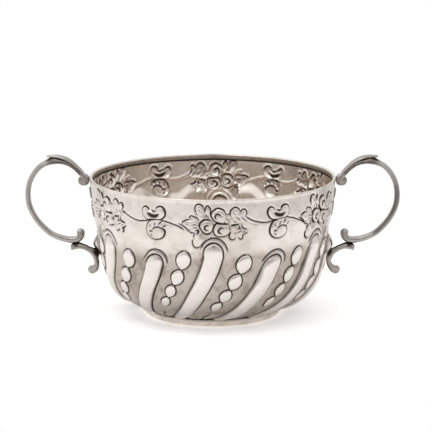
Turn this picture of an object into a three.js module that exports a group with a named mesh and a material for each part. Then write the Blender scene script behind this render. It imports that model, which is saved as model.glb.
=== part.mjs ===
// A two-handled silver porringer: a raised bowl embossed with swirling flutes and chains of graduated
// beads, a foot ring soldered under it, and two scroll handles, each built up of three straps.
// Lengths are millimetres and +Z is up. The handles lie along X, and the origin is the centre of the
// foot's underside. Angles round the bowl run from the front, which faces -Y, towards +X.

import * as THREE from "three";

// Bowl: the outer face of the sheet before it is embossed
const RIM_RADIUS = 55.3;
const BOWL_HEIGHT = 61.8;
const LIP_HEIGHT = 2.2;
const LIP_FLARE = 0.3;
const BELLY_RADIUS = 49.8;
const BELLY_HEIGHT = 26;
const BASE_RADIUS = 20;
const BASE_HEIGHT = 1.6;
const BASE_KICK = 0.8;
const WALL = 0.8;

// Embossing: lengths are measured down the wall from the lip
const FLUTES = 12;
const FLUTE_SHARE = 0.35; // of the pitch
const FLUTE_RISE = 1.35;
const TALL_HEAD = 19.6;
const SHORT_HEAD = 25.2;
const HEAD_LENGTH = 4.6;
const GROOVE = 0.35; // chased round every flute and bead
const VALLEY = 0.12; // how far the ground between them sinks
const SWIRL_START = 26;
const SWIRL_LEAN_ANGLE = 12.11; // degrees turned by the foot, at an even rate
const SWIRL_CURVE_ANGLE = 14.99; // degrees turned by the foot, at a growing rate
const BEADS = 4;
const BEAD_START = 24.4;
const BEAD_LENGTH = 8.8;
const BEAD_TAPER = 0.91;
const BEAD_SHARE = 0.29; // of the pitch, for the first bead
const BEAD_NARROWING = 0.95;
const BEAD_RISE = 0.9;

// Foot ring
const FOOT_RADIUS = 31.8;
const FOOT_TREAD_RADIUS = 29.9;
const FOOT_WIDTH = 3.3;

// Handles: the reach, rise and drop are those of the main scroll's middle line from its rolled top end
const HANDLE_REACH = 24.9;
const HANDLE_RISE = 10.3;
const HANDLE_DROP = 26.7;
const STRAP_WIDTH = 4.6;
const STRAP_THICKNESS = 2.1;
const ROLL_RADIUS = 2.9;
const ROLL_BELOW_LIP = 2.6;
const CURL_RADIUS = 2.6;
const CURL_OUT = 3.2; // beyond the roll's centre
const CAP_THICKNESS = 1.1;
const CAP_REACH = 15.9;
const BRACKET_THICKNESS = 1.9;
const BRACKET_DROP = 7.6;
const BRACKET_STUB = 3.4;
const BRACKET_CURL_RADIUS = 2.7;
const BRACKET_CURL_DROP = 3.2; // below the place where it meets the wall
const JOINT_GAP = 0.3; // solder gap between pieces

const DEGREE = Math.PI / 180;
const PITCH = 360 / FLUTES;
const SILVER = { color: 0xcbc7c1, roughness: 0.24, metalness: 1 };

const clamp = (x, low, high) => Math.min(high, Math.max(low, x));
const smooth = (x) => {
  const t = clamp(x, 0, 1);
  return t * t * (3 - 2 * t);
};

// The bowl's meridian, from the lip down to the middle of the base

function wallRadius(z) {
  const up = clamp((z - BELLY_HEIGHT) / (BOWL_HEIGHT - BELLY_HEIGHT), 0, 1);
  const lip = clamp((z - BOWL_HEIGHT + LIP_HEIGHT) / LIP_HEIGHT, 0, 1);
  const leaning = (RIM_RADIUS - LIP_FLARE - BELLY_RADIUS) * up;
  return BELLY_RADIUS + leaning + LIP_FLARE * lip ** 2;
}

function meridian() {
  const steps = 240;
  const points = [];
  for (let i = 0; i < steps; i++) {
    const z = THREE.MathUtils.lerp(BOWL_HEIGHT, BELLY_HEIGHT, i / steps);
    points.push(new THREE.Vector2(wallRadius(z), z));
  }
  for (let i = 0; i < steps; i++) {
    const a = (i / steps) * 90 * DEGREE;
    const r = BASE_RADIUS + (BELLY_RADIUS - BASE_RADIUS) * Math.cos(a);
    points.push(new THREE.Vector2(r, BELLY_HEIGHT - (BELLY_HEIGHT - BASE_HEIGHT) * Math.sin(a)));
  }
  for (let i = 0; i <= steps; i++) {
    const r = BASE_RADIUS * (1 - i / steps);
    points.push(new THREE.Vector2(r, BASE_HEIGHT + BASE_KICK * smooth(1 - r / BASE_RADIUS)));
  }
  return points;
}

const MERIDIAN = meridian();
const LENGTHS = [0];
for (let i = 1; i < MERIDIAN.length; i++) {
  LENGTHS.push(LENGTHS[i - 1] + MERIDIAN[i].distanceTo(MERIDIAN[i - 1]));
}
const MERIDIAN_LENGTH = LENGTHS[LENGTHS.length - 1];

// The point and outward normal of the unembossed wall at a length down from the lip.
function groundAt(length) {
  const s = clamp(length, 0, MERIDIAN_LENGTH);
  let i = LENGTHS.findIndex((l) => l > s);
  if (i < 1) i = LENGTHS.length - 1;
  const [a, b] = [MERIDIAN[i - 1], MERIDIAN[i]];
  const t = (s - LENGTHS[i - 1]) / (LENGTHS[i] - LENGTHS[i - 1]);
  const along = b.clone().sub(a).normalize();
  return { r: THREE.MathUtils.lerp(a.x, b.x, t), z: THREE.MathUtils.lerp(a.y, b.y, t), nr: -along.y, nz: along.x };
}

// The length down from the lip at which the lower wall has shrunk to radius r.
function lengthAtRadius(r) {
  const i = MERIDIAN.findIndex((p) => p.y < BELLY_HEIGHT && p.x < r);
  return LENGTHS[i];
}

function lengthAtHeight(z) {
  return LENGTHS[MERIDIAN.findIndex((p) => p.y <= z)];
}

const FOOT_SEAT = lengthAtRadius(FOOT_RADIUS * 1.019); // where the embossing has died out above the foot

// Embossing: flutes and beads, as a height over the ground. Angles are in degrees.

function swirl(s) {
  const x = clamp((s - SWIRL_START) / (FOOT_SEAT - SWIRL_START), 0, 1);
  return -(SWIRL_LEAN_ANGLE * x + SWIRL_CURVE_ANGLE * x * x);
}

// Half the angle that a flute takes at a length down the wall; above its head it stays narrow.
function fluteHalf(s, head) {
  const full = (PITCH * FLUTE_SHARE) / 2;
  const up = clamp(1 - (s - head) / HEAD_LENGTH, 0, 1);
  return full * Math.max(0.42, Math.sqrt(1 - up * up));
}

const BEAD_CHAIN = [];
for (let i = 0, top = BEAD_START; i < BEADS; i++) {
  const length = BEAD_LENGTH * BEAD_TAPER ** i;
  BEAD_CHAIN.push({ top, length, half: (PITCH * BEAD_SHARE * BEAD_NARROWING ** i) / 2 });
  top += length;
}

// Place within a bead: 0 at its middle and 1 at its ends. Null off the chain.
function beadAt(s) {
  const bead = BEAD_CHAIN.find((b) => s >= b.top - 1e-6 && s <= b.top + b.length + 1e-6);
  return bead && { ...bead, off: Math.min(1, Math.abs((2 * (s - bead.top)) / bead.length - 1)) };
}

function beadHalf(s) {
  const bead = beadAt(s);
  const half = (bead ?? BEAD_CHAIN[BEADS - 1]).half;
  return bead ? half * Math.max(0.3, Math.sqrt(1 - bead.off ** 2)) : half * 0.3;
}

const fadeAtFoot = (s) => smooth((FOOT_SEAT - s) / BEAD_LENGTH);

// across runs from -1 to 1 over the width. The outline itself lies in the groove.
function fluteRise(s, head, across) {
  if (s < head - 1e-6) return 0;
  const inHead = Math.sqrt(clamp((s - head) / HEAD_LENGTH, 0, 1));
  const dome = inHead * (1 - across ** 2) ** 0.7;
  return ((FLUTE_RISE + GROOVE) * dome - GROOVE) * (0.2 + 0.8 * fadeAtFoot(s));
}

function beadRise(s, across) {
  const bead = beadAt(s);
  if (!bead) return 0;
  return (BEAD_RISE + GROOVE) * (1 - bead.off ** 2) ** 0.6 * (1 - across ** 2) ** 0.7 - GROOVE;
}

const valley = (s) => -VALLEY * smooth((s - TALL_HEAD) / (HEAD_LENGTH * 1.3)) * fadeAtFoot(s);

const FINE = { flute: [-1, -0.72, -0.27, 0.27, 0.72, 1], beads: [-1, -0.45, 0.45, 1] };
const COARSE = { flute: [-1, 0, 1], beads: [0] };
const FINE_COLUMNS = 12;

// Columns of one pitch at a length down the wall: over the flute, over the beads, and one in each ground.
function pitchColumns(s, flute, set) {
  const [head, nextHead] = flute % 2 ? [SHORT_HEAD, TALL_HEAD] : [TALL_HEAD, SHORT_HEAD];
  const w = fluteHalf(s, head);
  const b = beadHalf(s);
  const columns = [
    ...set.flute.map((k) => ({ angle: w * k, rise: fluteRise(s, head, k) })),
    { angle: (w + PITCH / 2 - b) / 2, rise: valley(s) },
    ...set.beads.map((k) => ({ angle: PITCH / 2 + b * k, rise: set === FINE ? beadRise(s, k) : valley(s) })),
    { angle: (PITCH / 2 + b + PITCH - fluteHalf(s, nextHead)) / 2, rise: valley(s) },
  ];
  return columns.map((c) => ({ angle: c.angle + flute * PITCH + swirl(s), rise: c.rise }));
}

// A closed body of rings, from one pole on the axis to another, each ring's corners counted the same way round.
class RingBody {
  positions = [];
  indices = [];

  point(x, y, z) {
    this.positions.push(x, y, z);
    return this.positions.length / 3 - 1;
  }

  ring(points) {
    return points.map((p) => this.point(p.x, p.y, p.z));
  }

  // Joins ring a to the next ring b. One may have twice the corners of the other.
  join(a, b) {
    const n = Math.min(a.length, b.length);
    for (let i = 0; i < n; i++) {
      const j = (i + 1) % n;
      if (a.length === b.length) this.indices.push(a[i], a[j], b[j], a[i], b[j], b[i]);
      else if (a.length > b.length) {
        const mid = a[2 * i + 1];
        const end = a[(2 * i + 2) % a.length];
        this.indices.push(a[2 * i], mid, b[i], mid, b[j], b[i], mid, end, b[j]);
      } else {
        const mid = b[2 * i + 1];
        const end = b[(2 * i + 2) % b.length];
        this.indices.push(a[i], mid, b[2 * i], a[i], a[j], mid, a[j], end, mid);
      }
    }
  }

  // Closes the body over a ring. The pole lies after the ring, or before it when first is true.
  pole(ring, at, first) {
    const tip = this.point(at.x, at.y, at.z);
    ring.forEach((corner, i) => {
      const next = ring[(i + 1) % ring.length];
      if (first) this.indices.push(tip, next, corner);
      else this.indices.push(corner, next, tip);
    });
  }

  geometry() {
    const made = new THREE.BufferGeometry();
    made.setAttribute("position", new THREE.Float32BufferAttribute(this.positions, 3));
    made.setIndex(this.indices);
    return made;
  }
}

function around(r, z, angle) {
  return new THREE.Vector3(r * Math.sin(angle * DEGREE), -r * Math.cos(angle * DEGREE), z);
}

// A ring of the wall's outer face (depth 0) or inner face (depth WALL) with the embossing.
function embossedRing(s, depth, set) {
  const g = groundAt(s);
  const points = [];
  for (let flute = 0; flute < FLUTES; flute++) {
    for (const { angle, rise } of pitchColumns(s, flute, set)) {
      points.push(around(g.r + g.nr * (rise - depth), g.z + g.nz * (rise - depth), angle));
    }
  }
  return points;
}

// A ring without embossing. Its corners are every share-th column, spaced evenly.
function plainRing(s, depth, share) {
  const g = groundAt(s);
  const count = (FLUTES * FINE_COLUMNS) / share;
  const first = -PITCH / 6;
  const turn = s > TALL_HEAD ? swirl(s) : 0;
  return Array.from({ length: count }, (_, i) =>
    around(g.r - g.nr * depth, g.z - g.nz * depth, first + (360 / count) * i + turn),
  );
}

// Rows that follow the heads, the ends and middles of the beads, and the tail down to the foot.
function embossedRows(headSteps, perBead, tailSteps) {
  const rows = [];
  for (const head of [TALL_HEAD, SHORT_HEAD]) {
    for (const t of headSteps) rows.push(head + HEAD_LENGTH * t);
  }
  let end = BEAD_START;
  for (const bead of BEAD_CHAIN) {
    for (let i = 0; i < perBead; i++) rows.push(bead.top + (bead.length * i) / perBead);
    end = bead.top + bead.length;
  }
  for (let i = 0; i <= tailSteps; i++) rows.push(THREE.MathUtils.lerp(end, FOOT_SEAT, i / tailSteps));
  rows.sort((a, b) => a - b);
  return rows.filter((s, i) => i === 0 || s - rows[i - 1] > HEAD_LENGTH * 0.1);
}

function bowl() {
  const body = new RingBody();
  const above = TALL_HEAD * 0.94;
  const baseRows = [0.04, 0.35, 0.82].map((t) => THREE.MathUtils.lerp(FOOT_SEAT, MERIDIAN_LENGTH, t));
  const outside = [
    ...embossedRows([0, 0.3, 0.7], 4, 3).map((s) => embossedRing(s, 0, FINE)).reverse(),
    plainRing(above, 0, 1),
    ...[above / 2, LIP_HEIGHT, LIP_HEIGHT / 3].map((s) => plainRing(s, 0, 2)),
  ];
  const inside = [
    ...[LIP_HEIGHT / 3, LIP_HEIGHT, above / 2].map((s) => plainRing(s, WALL, 2)),
    ...embossedRows([0, 0.3, 0.8], 2, 3).map((s) => embossedRing(s, WALL, COARSE)),
  ];
  const under = baseRows.map((s, i) => plainRing(s, 0, i ? 4 : 2)).reverse();
  const floor = baseRows.map((s, i) => plainRing(s, WALL, i ? 4 : 2));
  const lip = [plainRing(0, WALL * 0.25, 2), plainRing(0, WALL * 0.75, 2)];
  const rings = [...under, ...outside, ...lip, ...inside, ...floor].map((points) => body.ring(points));
  const middle = groundAt(MERIDIAN_LENGTH);
  body.pole(rings[0], new THREE.Vector3(0, 0, middle.z), true);
  for (let i = 1; i < rings.length; i++) body.join(rings[i - 1], rings[i]);
  body.pole(rings[rings.length - 1], new THREE.Vector3(0, 0, middle.z + WALL), false);
  return body.geometry();
}

// The foot ring: a tread flat on the table, a rounded outer face, and a top that follows the bowl.
function footRing() {
  const seat = (r) => {
    const g = groundAt(lengthAtRadius(r));
    return g.z - JOINT_GAP;
  };
  const inner = FOOT_RADIUS - FOOT_WIDTH;
  const shoulder = FOOT_WIDTH * 0.06;
  const top = seat(FOOT_RADIUS - shoulder);
  const outline = [new THREE.Vector2(inner, 0), new THREE.Vector2(FOOT_TREAD_RADIUS, 0)];
  for (const a of [25, 55, 90]) {
    const r = THREE.MathUtils.lerp(FOOT_TREAD_RADIUS, FOOT_RADIUS, Math.sin(a * DEGREE));
    outline.push(new THREE.Vector2(r, (top - shoulder * 2.5) * (1 - Math.cos(a * DEGREE))));
  }
  outline.push(new THREE.Vector2(FOOT_RADIUS - shoulder, top));
  outline.push(new THREE.Vector2(inner, seat(inner)));
  outline.push(outline[0].clone());
  return new THREE.LatheGeometry(outline, 60).rotateX(90 * DEGREE);
}

// A strap's section: shares of half the width across, and of half the thickness outwards, starting on
// the flat side that faces the fingers. The outer side is crowned.
const STRAP_SECTION = [
  [-0.72, -1],
  [0.72, -1],
  [1, -0.45],
  [1, 0.15],
  [0.55, 0.85],
  [0, 1],
  [-0.55, 0.85],
  [-1, 0.15],
  [-1, -0.45],
];

// A strap swept along a path in the XZ plane. width and thickness are functions of the share of the path.
// The crowned side is on the left of the path's direction.
function strap(path, width, thickness) {
  const body = new RingBody();
  const lengths = [0];
  for (let i = 1; i < path.length; i++) lengths.push(lengths[i - 1] + path[i].distanceTo(path[i - 1]));
  const total = lengths[path.length - 1];
  const rings = path.map((p, i) => {
    const before = path[Math.max(0, i - 1)];
    const after = path[Math.min(path.length - 1, i + 1)];
    const along = after.clone().sub(before).normalize();
    const out = new THREE.Vector2(-along.y, along.x);
    const share = lengths[i] / total;
    const [w, t] = [width(share) / 2, thickness(share) / 2];
    return body.ring(
      STRAP_SECTION.map(([a, b]) => new THREE.Vector3(p.x + out.x * b * t, a * w, p.y + out.y * b * t)),
    );
  });
  const tips = [path[0], path[path.length - 1]].map((p) => new THREE.Vector3(p.x, 0, p.y));
  body.pole(rings[0], tips[0], true);
  for (let i = 1; i < rings.length; i++) body.join(rings[i - 1], rings[i]);
  body.pole(rings[rings.length - 1], tips[1], false);
  return body.geometry();
}

// A rolled end: points on a spiral about a centre, from one angle and radius to another, in degrees.
function spiral(centre, from, to, radiusFrom, radiusTo, steps) {
  return Array.from({ length: steps + 1 }, (_, i) => {
    const a = THREE.MathUtils.lerp(from, to, i / steps) * DEGREE;
    const r = THREE.MathUtils.lerp(radiusFrom, radiusTo, i / steps);
    return new THREE.Vector2(centre.x + r * Math.cos(a), centre.y + r * Math.sin(a));
  });
}

function spline(points, steps) {
  return new THREE.SplineCurve(points).getSpacedPoints(steps);
}

// The embossed wall's radius at a height and an angle.
function outerRadius(z, angle) {
  const s = lengthAtHeight(z);
  const columns = [];
  for (let flute = 0; flute < FLUTES; flute++) columns.push(...pitchColumns(s, flute, FINE));
  const i = columns.findIndex((c) => c.angle > angle);
  const [a, b] = [columns[i - 1], columns[i]];
  const g = groundAt(s);
  return g.r + g.nr * THREE.MathUtils.lerp(a.rise, b.rise, (angle - a.angle) / (b.angle - a.angle));
}

// Places of the handle on +X, in the XZ plane
const ROLL_HEIGHT = BOWL_HEIGHT - ROLL_BELOW_LIP;
const ROLL_CENTRE = new THREE.Vector2(wallRadius(ROLL_HEIGHT) + JOINT_GAP + ROLL_RADIUS * 0.931, ROLL_HEIGHT);
const LOOP_BOTTOM = ROLL_CENTRE.y - HANDLE_DROP;
const CURL_START_ANGLE = 250;
const CURL_CENTRE = new THREE.Vector2(
  ROLL_CENTRE.x + CURL_OUT,
  LOOP_BOTTOM - CURL_RADIUS * Math.sin(CURL_START_ANGLE * DEGREE),
);
const BRACKET_TOP = LOOP_BOTTOM - (STRAP_THICKNESS + BRACKET_THICKNESS) / 2 - JOINT_GAP;

// Main scroll: rolled at the rim, a C-shaped loop for the fingers, and a curl turned up at its lower end.
function mainScrollPath() {
  const reach = (x) => ROLL_CENTRE.x + HANDLE_REACH * x;
  const rise = (x) => ROLL_CENTRE.y + HANDLE_RISE * x;
  const drop = (x) => ROLL_CENTRE.y - HANDLE_DROP * x;
  const roll = spiral(ROLL_CENTRE, 425, 145, ROLL_RADIUS * 0.26, ROLL_RADIUS - STRAP_THICKNESS * 0.43, 9);
  const curl = spiral(CURL_CENTRE, CURL_START_ANGLE, -20, CURL_RADIUS, CURL_RADIUS * 0.29, 8);
  const loop = spline(
    [
      roll[roll.length - 1],
      new THREE.Vector2(reach(0.06), rise(0.5)),
      new THREE.Vector2(reach(0.2), rise(0.84)),
      new THREE.Vector2(reach(0.42), rise(1)),
      new THREE.Vector2(reach(0.72), rise(0.77)),
      new THREE.Vector2(reach(0.94), rise(0.1)),
      new THREE.Vector2(reach(1), drop(0.24)),
      new THREE.Vector2(reach(0.96), drop(0.45)),
      new THREE.Vector2(reach(0.83), drop(0.67)),
      new THREE.Vector2(reach(0.62), drop(0.885)),
      new THREE.Vector2(reach(0.34), drop(0.995)),
      curl[0],
    ],
    22,
  );
  return [...roll, ...loop.slice(1), ...curl.slice(1)];
}

function taperedEnds(share, first, last, ends) {
  return Math.min(1, ends + (1 - ends) * smooth(share / first), ends + (1 - ends) * smooth((1 - share) / last));
}

function mainScroll() {
  return strap(
    mainScrollPath(),
    (t) => STRAP_WIDTH * taperedEnds(t, 0.06, 0.06, 0.86),
    (t) => STRAP_THICKNESS * taperedEnds(t, 0.16, 0.12, 0.6),
  );
}

// Cap strap: lies on the main scroll from the lip to just past its highest point, and ends in a free tip.
function capStrap() {
  const path = mainScrollPath();
  const offset = (STRAP_THICKNESS + CAP_THICKNESS) / 2 + JOINT_GAP;
  const onTop = [];
  for (let i = 1; i < path.length - 1; i++) {
    const along = path[i + 1].clone().sub(path[i - 1]).normalize();
    const p = new THREE.Vector2(path[i].x - along.y * offset, path[i].y + along.x * offset);
    const out = p.x - ROLL_CENTRE.x;
    if (path[i].y > ROLL_CENTRE.y + HANDLE_RISE * 0.29 && out < CAP_REACH * 0.685) onTop.push(p);
  }
  const last = onTop[onTop.length - 1];
  const tip = new THREE.Vector2(ROLL_CENTRE.x + CAP_REACH, last.y - CAP_THICKNESS * 0.32);
  return strap(
    spline([...onTop.filter((_, i) => i % 2 === 0), last, tip], 13),
    (t) => STRAP_WIDTH * taperedEnds(t, 0.01, 0.35, 0.55),
    (t) => CAP_THICKNESS * taperedEnds(t, 0.01, 0.3, 0.45),
  );
}

// Bracket scroll: a stub under the main scroll, a bend down to the wall that it is soldered to, and a curl.
function bracketScroll() {
  const contact = BRACKET_TOP - BRACKET_DROP;
  const halfAngle = Math.atan2(STRAP_WIDTH * 0.32, BELLY_RADIUS) / DEGREE;
  const radii = [];
  for (const up of [-0.26, 0, 0.26]) {
    for (const aside of [-1, 0, 1]) radii.push(outerRadius(contact + BRACKET_DROP * up, 90 + halfAngle * aside));
  }
  const x = Math.max(...radii) + JOINT_GAP + BRACKET_THICKNESS / 2;
  const seat = CURL_CENTRE.x - CURL_RADIUS * 0.23;
  const centre = new THREE.Vector2(x + BRACKET_CURL_RADIUS * 0.963, contact - BRACKET_CURL_DROP);
  const curl = spiral(centre, 175, 425, BRACKET_CURL_RADIUS * 0.889, BRACKET_CURL_RADIUS * 0.3, 9);
  const down = (x) => BRACKET_TOP - BRACKET_DROP * x;
  const points = [
    new THREE.Vector2(seat + BRACKET_STUB, down(0.09)),
    new THREE.Vector2(seat + BRACKET_STUB * 0.45, down(0.013)),
    new THREE.Vector2(seat, down(0)),
    new THREE.Vector2(THREE.MathUtils.lerp(x, seat, 0.55), down(0.158)),
    new THREE.Vector2(THREE.MathUtils.lerp(x, seat, 0.18), down(0.513)),
    new THREE.Vector2(x, contact),
    curl[0],
  ];
  return strap(
    [...spline(points, 12), ...curl.slice(1)],
    (t) => STRAP_WIDTH * 0.9 * taperedEnds(t, 0.1, 0.1, 0.8),
    (t) => BRACKET_THICKNESS * taperedEnds(t, 0.2, 0.2, 0.7),
  );
}

function piece(name, geometry) {
  const mesh = new THREE.Mesh(geometry, new THREE.MeshStandardMaterial(SILVER));
  mesh.name = name;
  return mesh;
}

const porringer = new THREE.Group();
porringer.add(piece("bowl", bowl()), piece("foot_ring", footRing()));
for (const [side, turn] of [
  ["right", 0],
  ["left", 180],
]) {
  const handle = new THREE.Group();
  handle.rotation.z = turn * DEGREE;
  handle.add(
    piece(`${side}_main_scroll`, mainScroll()),
    piece(`${side}_cap_strap`, capStrap()),
    piece(`${side}_bracket_scroll`, bracketScroll()),
  );
  porringer.add(handle);
}

export default porringer;
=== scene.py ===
import math

import bpy
import numpy as np
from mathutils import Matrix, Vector


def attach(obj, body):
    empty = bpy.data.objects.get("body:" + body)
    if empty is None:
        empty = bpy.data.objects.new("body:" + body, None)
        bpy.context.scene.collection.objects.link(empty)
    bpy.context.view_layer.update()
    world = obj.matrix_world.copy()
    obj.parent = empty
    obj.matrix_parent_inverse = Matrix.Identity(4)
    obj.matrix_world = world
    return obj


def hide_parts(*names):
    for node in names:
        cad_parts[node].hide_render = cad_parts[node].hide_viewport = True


# The looks of a two-handled silver porringer: the chased and embossed bowl, its foot and its scroll handles.
# Lengths of the cup are millimetres, turned to metres where a mesh is made. The materials, stage and camera
# use metres. Angles round the bowl are in degrees from the front, which faces -Y, towards +X. Lengths down
# the wall are measured from the lip.

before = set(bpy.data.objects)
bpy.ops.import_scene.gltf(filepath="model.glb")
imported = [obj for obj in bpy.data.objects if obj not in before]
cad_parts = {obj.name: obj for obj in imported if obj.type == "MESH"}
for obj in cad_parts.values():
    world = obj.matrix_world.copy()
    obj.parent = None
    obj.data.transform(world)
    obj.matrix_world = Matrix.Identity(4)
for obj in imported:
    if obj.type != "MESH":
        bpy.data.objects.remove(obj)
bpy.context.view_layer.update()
MM = 0.001
rng = np.random.default_rng(7)

# Sizes shared with the solids
RIM_RADIUS = 55.3
BOWL_HEIGHT = 61.8
LIP_HEIGHT = 2.2
LIP_FLARE = 0.3
BELLY_RADIUS = 49.8
BELLY_HEIGHT = 26.0
BASE_RADIUS = 20.0
BASE_HEIGHT = 1.6
BASE_KICK = 0.8
WALL = 0.8
FOOT_RADIUS = 31.8
FOOT_WIDTH = 3.3
SWIRL_START = 26.0
SWIRL_LEAN_ANGLE = 12.11
SWIRL_CURVE_ANGLE = 14.99
STRAP_WIDTH = 4.6

# Detail that only the looks have
COLUMNS = 1440
FLUTES = 12
REPEATS = 6
FLUTE_ANGLE = 360 // FLUTES
REPEAT_ANGLE = 360 // REPEATS
CURVE_STEP = 0.3  # mm between the points of a curve
DEGREE_AT_BAND = 0.953  # mm round the wall for each degree, in the chased band
BAND_HALF = 56  # degrees on each side of a repeat's middle that its strokes can reach
BAND_END = 23.5  # mm down the wall
WALL_SWELL = 0.7  # mm by which the wall bulges between the belly and the lip
WALL_POINTS = 900  # points of the outline down to the belly, and again from there to the base
BASE_POINTS = 400
BEND_REACH = 45  # points on each side that are averaged to ease the bend at the belly
BEND_PASSES = 5
NORMAL_PASSES = 60
# Degrees by which the ornament has slipped round the bowl, at these angles from the front
SLIP_ANGLES = (-180, -145, -90, -75, -60, -45, -30, 0, 30, 45, 60, 75, 90, 145, 180)
SLIPS = (4.7, 4.7, 0.4, -1.0, -1.3, -0.8, -0.4, 0, 0.4, 0.8, 1.3, 1.0, 0.4, 4.7, 4.7)


def smooth(x):
    """Rises smoothly from 0 to 1 as x does."""
    t = np.clip(x, 0.0, 1.0)
    return t * t * (3.0 - 2.0 * t)


def bell(x, half):
    """1 where x is nought, falling off smoothly to both sides."""
    return np.exp(-((x / half) ** 2))


def unit(vectors):
    return vectors / np.hypot(*vectors.T)[:, None]


def lengths(line):
    """How far along a line each of its points lies."""
    return np.concatenate([[0], np.cumsum(np.hypot(*np.diff(line, axis=0).T))])


# The bowl's unembossed wall

def wall_radius(z):
    """Radius of the plain wall at a height above the belly."""
    up = np.clip((z - BELLY_HEIGHT) / (BOWL_HEIGHT - BELLY_HEIGHT), 0, 1)
    lip = np.clip((z - BOWL_HEIGHT + LIP_HEIGHT) / LIP_HEIGHT, 0, 1)
    straight = BELLY_RADIUS + (RIM_RADIUS - LIP_FLARE - BELLY_RADIUS) * up
    return straight + LIP_FLARE * lip**2 + WALL_SWELL * 4 * up * (1 - up)


def meridian():
    """The plain bowl's outside as (radius, height), from the lip to the middle of the base."""
    wall_z = np.linspace(BOWL_HEIGHT, BELLY_HEIGHT, WALL_POINTS, endpoint=False)
    turn = np.linspace(0, math.pi / 2, WALL_POINTS, endpoint=False)
    belly_r = BASE_RADIUS + (BELLY_RADIUS - BASE_RADIUS) * np.cos(turn)
    belly_z = BELLY_HEIGHT - (BELLY_HEIGHT - BASE_HEIGHT) * np.sin(turn)
    base_r = np.linspace(BASE_RADIUS, 0, BASE_POINTS)
    base_z = BASE_HEIGHT + BASE_KICK * smooth(1 - base_r / BASE_RADIUS)
    parts = ((wall_radius(wall_z), wall_z), (belly_r, belly_z), (base_r, base_z))
    line = np.concatenate([np.stack(part, 1) for part in parts])
    # The bend at the belly is eased, and the lip and the base are left as they are
    share = smooth((BOWL_HEIGHT - 6 - line[:, 1]) / 8) * smooth((line[:, 1] - 12) / 6)
    window = 2 * BEND_REACH + 1
    eased = line
    for _ in range(BEND_PASSES):
        first = np.repeat(eased[:1], BEND_REACH + 1, 0)
        last = np.repeat(eased[-1:], BEND_REACH, 0)
        total = np.cumsum(np.concatenate([first, eased, last]), axis=0)
        eased = (total[window:] - total[:-window]) / window
    return line + (eased - line) * share[:, None]


def directions(line):
    """Unit directions along a line, evened out between neighbours."""
    along = unit(np.gradient(line, axis=0))
    for _ in range(NORMAL_PASSES):
        along[1:-1] = (along[:-2] + along[1:-1] + along[2:]) / 3
    return unit(along)


LINE = meridian()
ALONG = directions(LINE)
LENGTHS = lengths(LINE)
TOTAL = LENGTHS[-1]
# How far down the wall the foot's top edge sits, and where the ornament has run out below it
FOOT_SEAT = float(np.interp(-(FOOT_RADIUS + 0.6), -LINE[WALL_POINTS:, 0], LENGTHS[WALL_POINTS:]))
RUN_OUT = FOOT_SEAT + 6


def ground(s):
    """Radius and height of the plain wall, and the outward and upward parts of its normal."""
    r, z = (np.interp(s, LENGTHS, LINE[:, i]) for i in (0, 1))
    return r, z, np.interp(s, LENGTHS, -ALONG[:, 1]), np.interp(s, LENGTHS, ALONG[:, 0])


def swirl(s):
    """Degrees by which the flutes have turned, that far down the wall."""
    x = np.clip((s - SWIRL_START) / (FOOT_SEAT - SWIRL_START), 0, 1)
    return -(SWIRL_LEAN_ANGLE * x + SWIRL_CURVE_ANGLE * x * x)


def around(angle):
    """The same angle between -180 and 180 degrees."""
    return (angle + 180) % 360 - 180


def laid_out(theta):
    """Angle in the ornament's own layout."""
    return theta + np.interp(around(theta), SLIP_ANGLES, SLIPS)


# The chased band, drawn as strokes whose points are (degrees, mm down the wall)

# Points of outlines that are both drawn and raised
LEFT_PETAL = [
    (-0.6, 9), (-2, 8.5), (-3.5, 8.6), (-5, 9.3), (-5.9, 10.4), (-6.1, 11.4), (-5.8, 12.5), (-5, 13.6),
    (-4.2, 14.4), (-3.2, 14.8), (-2.2, 14.8), (-1, 14.3),
]
TOP_PETAL = [
    (1.2, 9.5), (0.3, 8.6), (-0.2, 7.6), (-0.6, 6.6), (-0.5, 5.6), (0.2, 4.8), (1.2, 4.2), (2.4, 3.7),
    (3.6, 3.8), (4.8, 4.3), (5.6, 5),
]
LOW_PETAL = [
    (4, 10.6), (2, 10.4), (1, 11), (0.3, 12), (0, 13), (0.2, 14.2), (0.8, 15.4), (1.7, 16.2), (3, 16.5),
    (4.5, 16.4),
]
BUD = [(-3.3, 5), (-3.1, 3.6), (-2.8, 2.8), (-2.3, 2.4), (-1.6, 2.7), (-1, 3.5), (-0.6, 4.3)]
RIGHT_LEAF = [(8.1, 6), (8.3, 5), (8.8, 4.3), (9.8, 3.6), (10.7, 3.4), (11.7, 3.8), (12.5, 4.6)]
SCROLL_LEFT = [
    (-30, 5.8), (-30.6, 5), (-31.7, 4.4), (-32.8, 4.6), (-33.6, 5.3), (-33.9, 6.4), (-33.7, 7.6),
    (-33.1, 8.7),
]
SCROLL_RIGHT = [
    (-26.6, 4.8), (-26, 4.1), (-24.8, 3.7), (-23.5, 3.8), (-22.5, 4.6), (-22, 5.8), (-22, 7), (-22.5, 8),
    (-23.4, 8.9),
]
SCROLL_LOW = [
    (-30.8, 10.7), (-31.8, 12), (-32.4, 13.5), (-32.5, 15), (-32.1, 16.3), (-31.2, 17.4), (-30, 18.2),
    (-28.5, 18.6), (-27, 18.6), (-25.4, 18.3), (-24, 17.5), (-23.2, 16.3), (-22.9, 15),
]

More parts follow.
